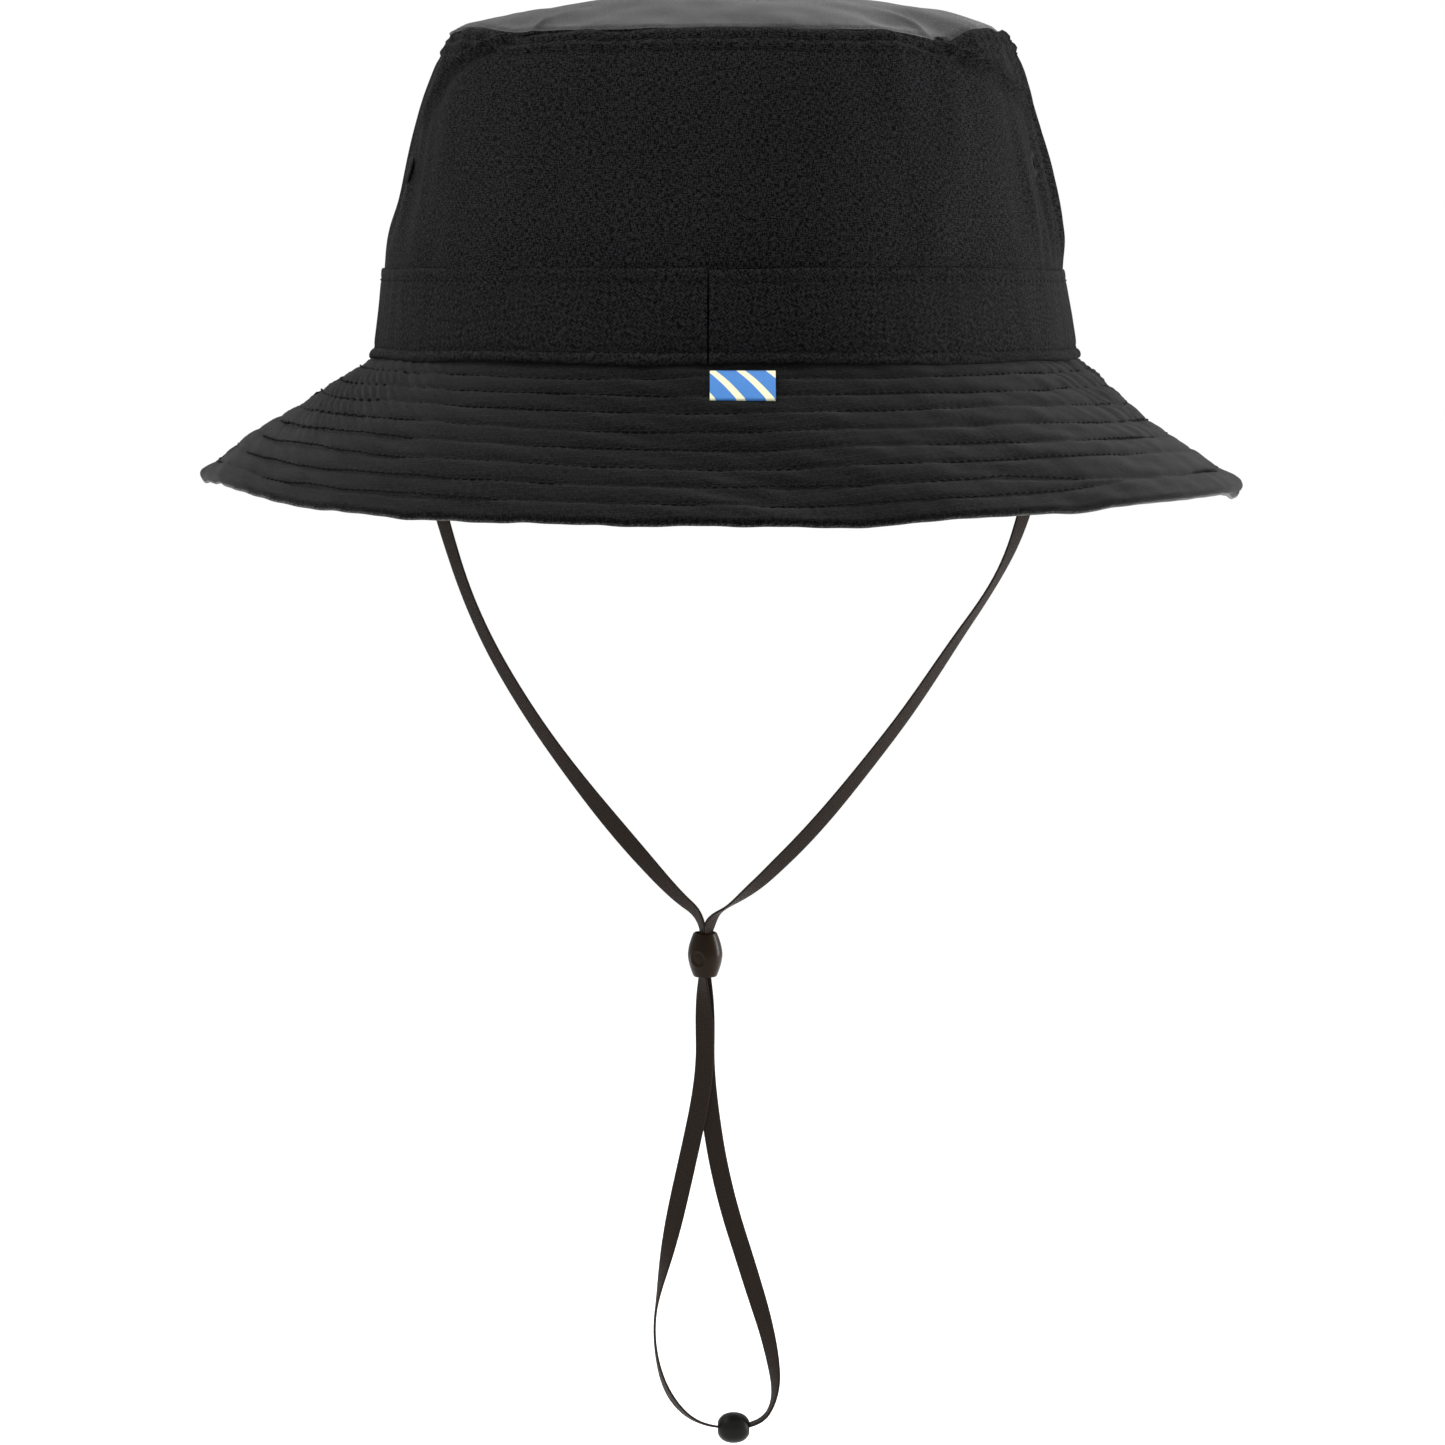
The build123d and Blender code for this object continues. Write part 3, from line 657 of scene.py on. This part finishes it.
eyelet_places = {
    "eyelet_front_left": (-163.5, -2.0),
    "eyelet_rear_left": (163.5, -1.0),
    "eyelet_front_right": (-20.0, -0.3),
    "eyelet_rear_right": (18.0, 0.0),
}
eyelet_spots = {}
for name, (angle, lift) in eyelet_places.items():
    reach = (eyelet_height + lift - wall_foot) / (seam_height - wall_foot)
    spot, normal, _ = wall_grid(angle + np.linspace(-0.5, 0.5, 5), reach + np.linspace(-0.01, 0.01, 5))
    eyelet_spots[name] = (spot[2, 2], normal[2, 2])


def clear_of_holes(grid, radius):
    """Which cells of a grid stay: those not over an eyelet's hole."""
    middle = (grid[:-1, :-1] + grid[1:, 1:]) / 2
    keep = np.ones(middle.shape[:2], bool)
    for spot, _ in eyelet_spots.values():
        keep &= np.linalg.norm(middle - spot, axis=-1) > radius
    return keep


half_ranges = {"front": (-180.0, 0.0), "rear": (0.0, 180.0)}
for side, (first, last) in half_ranges.items():
    angles = np.linspace(first, last, 300)
    grid, normal, flat = wall_grid(angles, np.linspace(0, 1, 88))
    keep = clear_of_holes(grid, 2.6)
    cloth_piece(
        f"crown_panel_{side}", grid, normal, flat, 0.8, ripstop_cloth, keep
    )
    angles = np.linspace(first, last, 260)
    grid, normal, flat = wall_grid(angles, np.linspace(0, 0.985, 78), 0.9)
    keep = clear_of_holes(grid, 2.9)
    cloth_piece(
        f"crown_lining_{side}", grid, normal, flat, 0.5, lining_cloth, keep
    )

# ---- Crown top ----


def top_grid(steps, inset=0.0, shrink=1.0):
    """Points on the crown's top: a square grid bent to the oval."""
    u, v = np.meshgrid(np.linspace(-1, 1, steps), np.linspace(-1, 1, steps), indexing="ij")
    x, y = u * np.sqrt(1 - v * v / 2), v * np.sqrt(1 - u * u / 2)
    reach = np.clip(np.hypot(x, y), 0, 1)
    angle = np.degrees(np.arctan2(y, x))
    power = 2.0 + 0.7 * reach**2
    half = crown_half * wall_half(1.0) * reach * shrink
    px, py = oval(angle, half, half * depth_share, power)
    rim = seam_level(angle)
    corners = near(angle, -153, 24) + near(angle, -24, 24)
    crest = dome_height - 0.4 - 3.0 * step(-px, 10, 48) - 2.6 * step(px, 24, 58)
    height = crest - (crest - rim) * reach ** (2.9 + 3.6 * corners)
    height = height - 1.6 * step(-px - 0.25 * py, 58, 74) * step(-py, -30, 20) * (1 - reach**8)
    relief = 0.5 * waves(px, py, 21, 30, 75) * (1 - reach**6) + 0.15 * waves(px, py, 22, 9, 20)
    inward = (1 - reach) * 76
    for crease, depth in ((-128.0, 1.8), (-49.0, 2.0)):
        aside = ((angle - crease + 180) % 360 - 180) * reach * 1.33
        fade = step(inward, 26, 4)
        ridge = np.exp(-np.abs(aside) / 2.4) - 0.5 * np.exp(-(((np.abs(aside) - 8) / 5.0) ** 2))
        relief = relief + depth * fade * ridge * (0.4 + 0.6 * step(inward, 0, 6))
    pucker = np.sin(np.radians(angle) * 78 * 2 * math.pi / 5.2)
    relief = relief + 0.08 * pucker * np.exp(-inward / 4) * step(inward, 0, 1.5)
    relief = relief - 0.5 * np.exp(-((inward / 1.1) ** 2))
    grid = np.stack([px, py, height], -1)
    normal = grid_normals(grid)
    grid = grid + normal * relief[..., None]
    normal = grid_normals(grid)
    return grid - normal * inset, normal, np.stack([px, py], -1)


grid, normal, flat = top_grid(150)
crown_top = cloth_piece("crown_top", grid, normal, flat, 0.8, top_cloth)
grid, normal, flat = top_grid(90, 1.1, 0.985)
top_lining = cloth_piece("crown_top_lining", grid, normal, flat, 0.5, lining_cloth)

# Two rows of stitches under the top seam
rows = []
for line_height in (3.0, 6.1):
    reach = 1 - line_height / (seam_height - wall_foot)
    grid, normal, _ = wall_grid(np.linspace(-180, 180, 720), reach + np.linspace(-0.004, 0.004, 3))
    rows.append(stitch_tubes(grid[:, 1], normal[:, 1], 2.5, 2.0, 0.3, sink=0.04))
points, faces = together(rows)
make_piece("crown_stitching_rows", points, faces, thread, "hat", ["crown_stitching"])

# ---- Eyelets ----

for name, (spot, normal) in eyelet_spots.items():
    upward = np.array([0, 0, 1.0]) - normal * normal[2]
    upward /= np.linalg.norm(upward)
    aside = np.cross(upward, normal)
    turn = np.linspace(0, 2 * math.pi, 193)[:-1]
    section = [
        (1.75, -1.7), (1.7, -0.8), (1.72, -0.1), (1.82, 0.28), (2.1, 0.5), (2.6, 0.58), (3.1, 0.5),
        (3.5, 0.32), (3.72, 0.08), (3.74, -0.12), (3.0, -0.2), (2.3, -0.3), (2.2, -1.0), (2.2, -1.7),
    ]
    ridges = 0.075 * np.sign(np.sin(turn * 38)) * np.abs(np.sin(turn * 38)) ** 0.6
    uneven = 0.08 * waves(turn * 3.7, 0 * turn, 40 + len(name), 0.9, 3.0)
    rings = []
    for radius, rise in section:
        on_top = 1.0 if rise > 0 else 0.0
        far = radius + (ridges * 0.5 + uneven) * (radius > 3.3)
        lift = rise + ridges * on_top
        sideways = np.cos(turn)[:, None] * far[:, None] * aside
        rings.append(spot + sideways + np.sin(turn)[:, None] * far[:, None] * upward + lift[:, None] * normal)
    points = np.stack(rings, 1)
    a = np.arange(points.shape[0] * points.shape[1]).reshape(points.shape[:2])
    b = np.roll(a, -1, axis=0)
    quads = np.stack([a, np.roll(a, -1, axis=1), np.roll(b, -1, axis=1), b], -1).reshape(-1, 4)
    make_piece(f"{name}_ring", points.reshape(-1, 3), quads, eyelet_thread, "hat", [name], sharp=80)

# ---- Hatband ----

seam_angle = math.degrees(math.atan2(-crown_depth, -4.3))
band_profile = [
    (0.1, 23.6), (0.2, 24.15), (0.55, 24.4), (0.95, 24.2), (1.08, 23.6), (1.1, 22.6), (1.0, 21.7),
    (0.94, 21.3), (1.0, 20.9), (1.1, 20.0), (1.16, 16.0), (1.2, 12.0), (1.2, 8.0),
    (1.18, 5.5), (1.08, 4.2), (0.9, 3.4),
    (0.84, 3.1), (1.0, 2.85), (1.5, 2.5), (1.9, 1.9), (2.05, 1.2), (1.95, 0.55), (1.6, 0.1), (1.1, -0.05),
    (0.6, 0.1), (0.3, 0.6), (0.15, 1.6), (0.1, 3.0), (0.08, 8.0), (0.08, 16.0),
]
band_scale = band_top / 24.0


def band_point(angle, offset, level, relief=0.0):
    """Point on the hatband: offset outwards from the crown's wall, at a level above the opening."""
    half = crown_half * wall_half(np.clip(level, 0, None) / seam_height) + offset
    x, y = oval(angle, half + relief, half * depth_share + relief, 2.05)
    return x, y, level + 0 * x


def band_relief(angle, level):
    run = np.radians(angle) * crown_half
    relief = 0.35 * waves(run, level, 51, 30, 80) + 0.1 * waves(run, level * 0.4, 52, 7, 16)
    ends = near(angle, 180, 14) + near(angle, 2, 14)
    ripples = np.sin(run * 2 * math.pi / 4.1 + level * 0.09) * step(level, 26, 3)
    return relief + 0.3 * ends * ripples


angles = np.linspace(seam_angle + 0.16, seam_angle + 360 - 0.16, 620)
columns, flats = [], []
for offset, level in band_profile:
    top_wave = 0.35 * waves(angles * 1.6, 0 * angles, 55, 40, 90) * step(level, 18, 24)
    foot_wave = 0.3 * waves(angles * 1.6, 0 * angles, 56, 30, 70) * step(level, 5, 0)
    relief = band_relief(angles, level) * (1.0 if offset > 0.5 else 0.6)
    x, y, z = band_point(angles, offset, level * band_scale, relief)
    columns.append(np.stack([x, y, z + top_wave + foot_wave], -1))
    flats.append(np.stack([np.radians(angles) * crown_half, np.full(len(angles), level)], -1))
points = np.stack(columns, 1)
band_flat = np.stack(flats, 1)
make_piece(
    "hatband_strip",
    points.reshape(-1, 3),
    tube_faces(len(angles), len(band_profile)),
    hatband_cloth,
    "hat",
    ["hatband"],
    band_flat.reshape(-1, 2),
    sharp=70,
)

rows = []
for level, offset in ((21.3, 0.97), (3.15, 0.88)):
    angles = np.linspace(seam_angle + 0.5, seam_angle + 359.5, 700)
    level_wave = 0.3 * waves(angles * 1.6, 0 * angles, 56, 30, 70) * step(level, 5, 0)
    level_wave = level_wave + 0.35 * waves(angles * 1.6, 0 * angles, 55, 40, 90) * step(level, 18, 24)
    x, y, z = band_point(angles, offset, level * band_scale, band_relief(angles, level))
    line = np.stack([x, y, z + level_wave], -1)
    outward = np.stack([x, y, 0 * x], -1)
    outward /= np.linalg.norm(outward, axis=1, keepdims=True)
    rows.append(stitch_tubes(line, outward, 2.45, 1.9, 0.22, sink=0.02))
points, faces = together(rows)
make_piece("hatband_stitching_rows", points, faces, thread, "hat", ["hatband_stitching"])

# ---- Brim ----

brim_slant = 61.3
root_half = crown_half - 1.9
row_first, row_pitch, row_count = 7.0, 6.9, 8
side_drop, front_drop = 34.5, brim_root_height - brim_front_height - 1.0


def brim_rows(angle):
    """Distance of each stitched row from the joint. The last two rows run together at the right."""
    joined = step(np.abs((angle + 180) % 360 - 180), 60, 36)
    rows = []
    for k in range(row_count):
        wander = 0.35 * waves(np.cos(np.radians(angle)) * 90, np.sin(np.radians(angle)) * 90, 70 + k, 40, 120)
        rows.append(row_first + row_pitch * k + 0.3 * k * joined + 1.3 * max(0, 2 - k) * 0.5 + wander)
    rows[-2] = rows[-2] + 2.2 * joined
    rows[-1] = rows[-1] - 4.5 * joined
    return rows


def brim_level(angle, share):
    """Height of the brim's top surface."""
    middle = (side_drop + front_drop) / 2
    saddle = (front_drop - side_drop) / 2 * np.cos(2 * np.radians(angle))
    level = brim_root_height + share * (saddle - middle)
    sides = np.cos(np.radians(angle)) ** 2
    level = level + 0.9 * sides * np.sin(np.pi * share)
    level = level - 4.4 * near(angle, 0, 36) * step(share, 0, 0.55)
    lifted = 0.4 + 0.5 * near(angle, -135, 25) + 0.9 * near(angle, 180, 22)
    lifted = lifted + 1.5 * near(angle, -58, 26) + 1.6 * near(angle, -18, 20)
    level = level + lifted * share**2
    return level + 0.7 * near(angle, 0, 18) * step(share, 0.88, 1.0)


def brim_relief(angle, share):
    """How far the brim's cloth stands up or down, in millimetres."""
    run = np.radians(angle) * (root_half + share * (brim_half - root_half))
    out = share * brim_slant
    relief = 0.9 * waves(run, out * 0.7, 61, 55, 130) * share
    relief = relief + 0.14 * waves(run, out, 62, 8, 20)
    nearest = np.full(np.shape(angle + share), 99.0)
    for row in brim_rows(angle):
        nearest = np.minimum(nearest, np.abs(out - row))
    quilted = 0.14 * step(nearest, 0, 3.0) * (1 + 1.2 * near(angle, -25, 30) + 0.6 * near(angle, -155, 30))
    relief = relief + quilted - 0.3 * np.exp(-((nearest / 0.62) ** 2))
    relief = relief + 0.12 * np.sin(run * 2 * math.pi / 2.5) * np.exp(-((nearest / 1.2) ** 2))
    relief = relief + 0.07 * waves(run * 0.5, out * 1.6, 67, 7, 18)
    sway = 0.5 * waves(run, out, 65, 14, 40)
    ripple = np.sin((run * 0.93 + out * 0.38) * 2 * math.pi / 4.4 + sway * 2)
    relief = relief + 0.5 * ripple * near(angle, -156, 20) * np.exp(-((out - 18) / 17) ** 2)
    ripple = np.sin((run * 0.95 - out * 0.5) * 2 * math.pi / 7.5 + sway * 3)
    relief = relief + 0.4 * ripple * near(angle, -16, 16) * np.exp(-((out - 16) / 18) ** 2)
    for start, lean, height in ((-16.0, 0.55, 1.5), (-31.0, 0.9, 0.9)):
        aside = run - start - out * lean
        fold = np.exp(-np.abs(aside) / 1.8) - 0.45 * np.exp(-(((np.abs(aside) - 5.0) / 3.0) ** 2))
        relief = relief + height * fold * np.exp(-(((out - 9) / 8) ** 2))
    return relief


def brim_surface(angle, share):
    """Point on the brim before its cloth's own relief. It is a little narrower at the right."""
    half_x = root_half + share * (brim_half - root_half - 1.7 * near(angle, 0, 40))
    half_y = root_half * depth_share + share * (brim_depth - root_half * depth_share)
    x, y = oval(angle, half_x, half_y, 2.04 - 0.04 * share)
    return np.stack([x, y, brim_level(angle, share)], -1)


def brim_grid(angles, shares, sink=0.0):
    angle, share = np.meshgrid(angles, shares, indexing="ij")
    grid = brim_surface(angle, share)
    normal = grid_normals(grid, -1)
    grid = grid + normal * brim_relief(angle, share)[..., None]
    normal = grid_normals(grid, -1)
    flat = np.stack([np.radians(angle) * (root_half + 20), share * brim_slant], -1)
    return grid - normal * sink, normal, flat


edge_start = 0.978
edge_shares = edge_start + (1 - edge_start) * np.sin(np.linspace(0, math.pi / 2, 9))
shares = np.concatenate([np.linspace(0, edge_start, 96)[:-1], edge_shares])
edge_round = 1 - np.sqrt(np.clip(1 - np.clip((shares - edge_start) / (1 - edge_start), 0, 1) ** 2, 0, 1))
for side, (first, last) in half_ranges.items():
    angles = np.linspace(first, last, 300)
    grid, normal, flat = brim_grid(angles, shares)
    grid = grid - normal * (edge_round * 1.0)[None, :, None]
    cloth_piece(
        f"brim_upper_{side}", grid, normal, flat, 0.7, brim_cloth_painted_darker, sign=-1
    )
    grid, normal, flat = brim_grid(angles, shares, 1.9)
    peek = near(angles, -10, 7)[:, None] * step(shares, 0.93, 1.0)[None]
    grid = grid + normal * (edge_round[None] * (0.6 - 0.6 * peek) - 1.9 * peek)[..., None]
    cloth_piece(
        f"brim_lower_{side}", grid, normal, flat, 0.7, under_cloth, sign=-1
    )
    grid, normal, flat = brim_grid(angles, np.linspace(0, 0.965, 92), 0.9)
    cloth_piece(
        f"brim_interlining_{side}", grid, normal, flat, 0.7, stiffener, sign=-1, kind="sheet"
    )

rows = []
for k in range(row_count):
    first, last = (14.0, 346.0) if k == row_count - 1 else (0.0, 360.0)
    angles = np.linspace(first, last, 900)
    share = brim_rows(angles)[k] / brim_slant
    for sink, flip, size in ((0.0, 1, 0.29), (2.4, -1, 0.22)):
        base = np.stack([brim_surface(angles, share + nudge) for nudge in (-0.002, 0.0, 0.002)], 1)
        normal = grid_normals(base, -1)[:, 1]
        line = base[:, 1] + normal * (brim_relief(angles, share) - sink)[:, None]
        rows.append(stitch_tubes(line, normal * flip, 2.5, 1.95, size, sink=0.0))
points, faces = together(rows)
make_piece("brim_stitching_rows", points, faces, brim_thread, "hat", ["brim_stitching"])

# ---- Sweatband ----

sweat_profile = [
    (-1.5, 2.2), (-1.45, 5.0), (-1.45, 12.0), (-1.45, 20.0), (-1.5, 22.8), (-1.75, 23.5), (-2.2, 23.7),
    (-2.7, 23.3), (-2.85, 22.4), (-2.75, 20.8), (-2.85, 18.0), (-3.0, 12.0), (-2.9, 7.0), (-2.75, 5.2),
    (-2.9, 4.4), (-2.8, 3.0), (-2.3, 2.2),
]
angles = np.linspace(REAR + 0.1, REAR + 359.9, 420)
columns, flats = [], []
for offset, level in sweat_profile:
    x, y, z = band_point(angles, offset, level * sweat_top / 23.5, band_relief(angles, level) * 0.5 - 0.3)
    columns.append(np.stack([x, y, z], -1))
    flats.append(np.stack([np.radians(angles) * crown_half, np.full(len(angles), level)], -1))
points = np.stack(columns, 1)
make_piece(
    "sweatband_strip",
    points.reshape(-1, 3),
    [face[::-1] for face in tube_faces(len(angles), len(sweat_profile))],
    sweat_cloth,
    "hat",
    ["sweatband"],
    np.stack(flats, 1).reshape(-1, 2),
    sharp=70,
)

# ---- Tag, label and tabs ----


def bent_sheet(path, across, width, thickness, columns=30):
    """Sheet that follows a path in its own plane, width wide along a direction across it."""
    path = np.array(path, float)
    tangent = np.gradient(path, axis=0)
    tangent /= np.linalg.norm(tangent, axis=1, keepdims=True)
    across = np.array(across, float)
    normal = np.cross(across, tangent)
    spread = np.linspace(-width / 2, width / 2, columns)
    middle = path[None] + spread[:, None, None] * across
    normal = np.broadcast_to(normal[None], middle.shape)
    run = np.concatenate([[0], np.cumsum(np.linalg.norm(np.diff(path, axis=0), axis=1))])
    flat = np.stack(np.meshgrid(spread, run, indexing="ij"), -1)
    return middle + normal * thickness / 2, middle - normal * thickness / 2, flat


# The tag is folded in two at its free edge and comes out from under the rolled edge.
slope = math.atan2(front_drop, brim_depth - root_half * depth_share)
outward = np.array([0.0, -math.cos(slope), -math.sin(slope)])
lift = np.array([0.0, -math.sin(slope), math.cos(slope)])
hinge_point = np.array([(tag_low[0] + tag_high[0]) / 2, tag_high[1], tag_high[2]])
tag_long = math.hypot(tag_high[1] - tag_low[1], tag_high[2] - tag_low[2]) - 0.4
fold_radius, tag_arch, tag_stand = 0.34, 0.54, 0.1


def tag_place(t, drop):
    """Point at a share of the tag's length, a drop below its upper layer."""
    rise = tag_stand + tag_arch * math.sin(math.pi * max(t, 0)) - drop
    return hinge_point + outward * (t * tag_long) + lift * rise


shape = [tag_place(t, 0) for t in np.linspace(-0.03, 1, 24)]
fold_middle = shape[-1] - lift * fold_radius
for t in np.linspace(0.2, 1.0, 7):
    swing = math.pi / 2 - t * math.pi
    shape.append(fold_middle + fold_radius * (outward * math.cos(swing) + lift * math.sin(swing)))
shape += [tag_place(t, 2 * fold_radius) for t in np.linspace(0.96, 0.0, 20)]
tag_wide = tag_high[0] - tag_low[0]
outer, inner, flat = bent_sheet(shape, (1, 0, 0), tag_wide, 0.42, 40)
points, faces, uv = shell(outer, inner, flat)
tag = make_piece(
    "band_tag_fold", points, faces, tag_cloth, "band_tag", ["band_tag"], uv, sharp=60
)

label_middle = (label_low + label_high) / 2
label_tall, label_wide = label_high[2] - label_low[2], label_high[0] - label_low[0]
shape = []
for t in np.linspace(0, 1, 30):
    bow = 0.9 * math.sin(math.pi * t) * t
    shape.append((label_middle[0], label_middle[1] - bow, label_high[2] - t * label_tall))
outer, inner, flat = bent_sheet(shape, (1, 0, 0), label_wide, 0.35, 30)
curl = 0.5 * (np.linspace(-1, 1, 30) ** 2)[:, None] * np.linspace(0, 1, 30)[None]
outer[..., 1] -= curl
inner[..., 1] -= curl
points, faces, uv = shell(outer, inner, flat)
label = make_piece(
    "care_label_sheet", points, faces, label_cloth, "care_label", ["care_label"], uv, sharp=60
)

for side, sign in (("left", -1), ("right", 1)):
    low, high = corner_sizes(f"cord_tab_{side}")
    middle = (low + high) / 2
    foot, bend = low[2] + 0.15, 1.5
    half_way = (high[2] + foot) / 2
    shape = [(middle[0] + bend * sign, 0, high[2]), (middle[0] + bend * sign, 0, half_way)]
    for swing in np.linspace(0, math.pi, 15):
        shape.append((middle[0] + sign * bend * math.cos(swing), 0, foot + bend - bend * math.sin(swing)))
    shape += [(middle[0] - bend * sign, 0, half_way), (middle[0] - bend * sign, 0, high[2] - 0.3)]
    outer, inner, flat = bent_sheet(shape, (0, 1, 0), high[1] - low[1], 0.9, 16)
    points, faces, uv = shell(outer, inner, flat)
    node = f"cord_tab_{side}"
    make_piece(f"{node}_fold", points, faces, tape, "hat", [node], uv, sharp=60)

# ---- Floor and light ----

world = bpy.data.worlds.new("studio")
world.use_nodes = True
world.node_tree.nodes["Background"].inputs["Color"].default_value = (1, 1, 1, 1)
world.node_tree.nodes["Background"].inputs["Strength"].default_value = 1.0
scene.world = world
scene.view_settings.view_transform = "Standard"

floor_mesh = bpy.data.meshes.new("floor")
floor_half, floor_level = 2.2, -0.42
corner_signs = ((-1, -1), (1, -1), (1, 1), (-1, 1))
floor_corners = [(x * floor_half, y * floor_half, floor_level) for x, y in corner_signs]
floor_mesh.from_pydata(floor_corners, [], [(0, 1, 2, 3)])
floor_material, _, _, floor_shader = new_material("floor_paper")
floor_shader.inputs["Base Color"].default_value = (0.9, 0.9, 0.9, 1)
floor_shader.inputs["Roughness"].default_value = 0.9
floor_shader.inputs["Specular IOR Level"].default_value = 0.1
floor_mesh.materials.append(floor_material)
floor = bpy.data.objects.new("floor", floor_mesh)
scene.collection.objects.link(floor)


def soft_light(name, place, aim, size_x, size_y, power):
    data = bpy.data.lights.new(name, "AREA")
    data.shape = "RECTANGLE"
    data.size, data.size_y, data.energy = size_x, size_y, power
    light = bpy.data.objects.new(name, data)
    light.location = place
    light.rotation_euler = (Vector(aim) - Vector(place)).to_track_quat("-Z", "Y").to_euler()
    scene.collection.objects.link(light)
    return light


soft_light("overhead", (0, 0.3, 1.6), (0, 0, 0), 2.0, 1.6, 30.0)
soft_light("left_box", (-0.9, -0.1, 1.1), (-0.1, 0, -0.05), 0.35, 0.9, 13.0)
soft_light("right_box", (1.5, 0.25, 0.15), (0, 0, -0.1), 0.35, 1.0, 26.0)
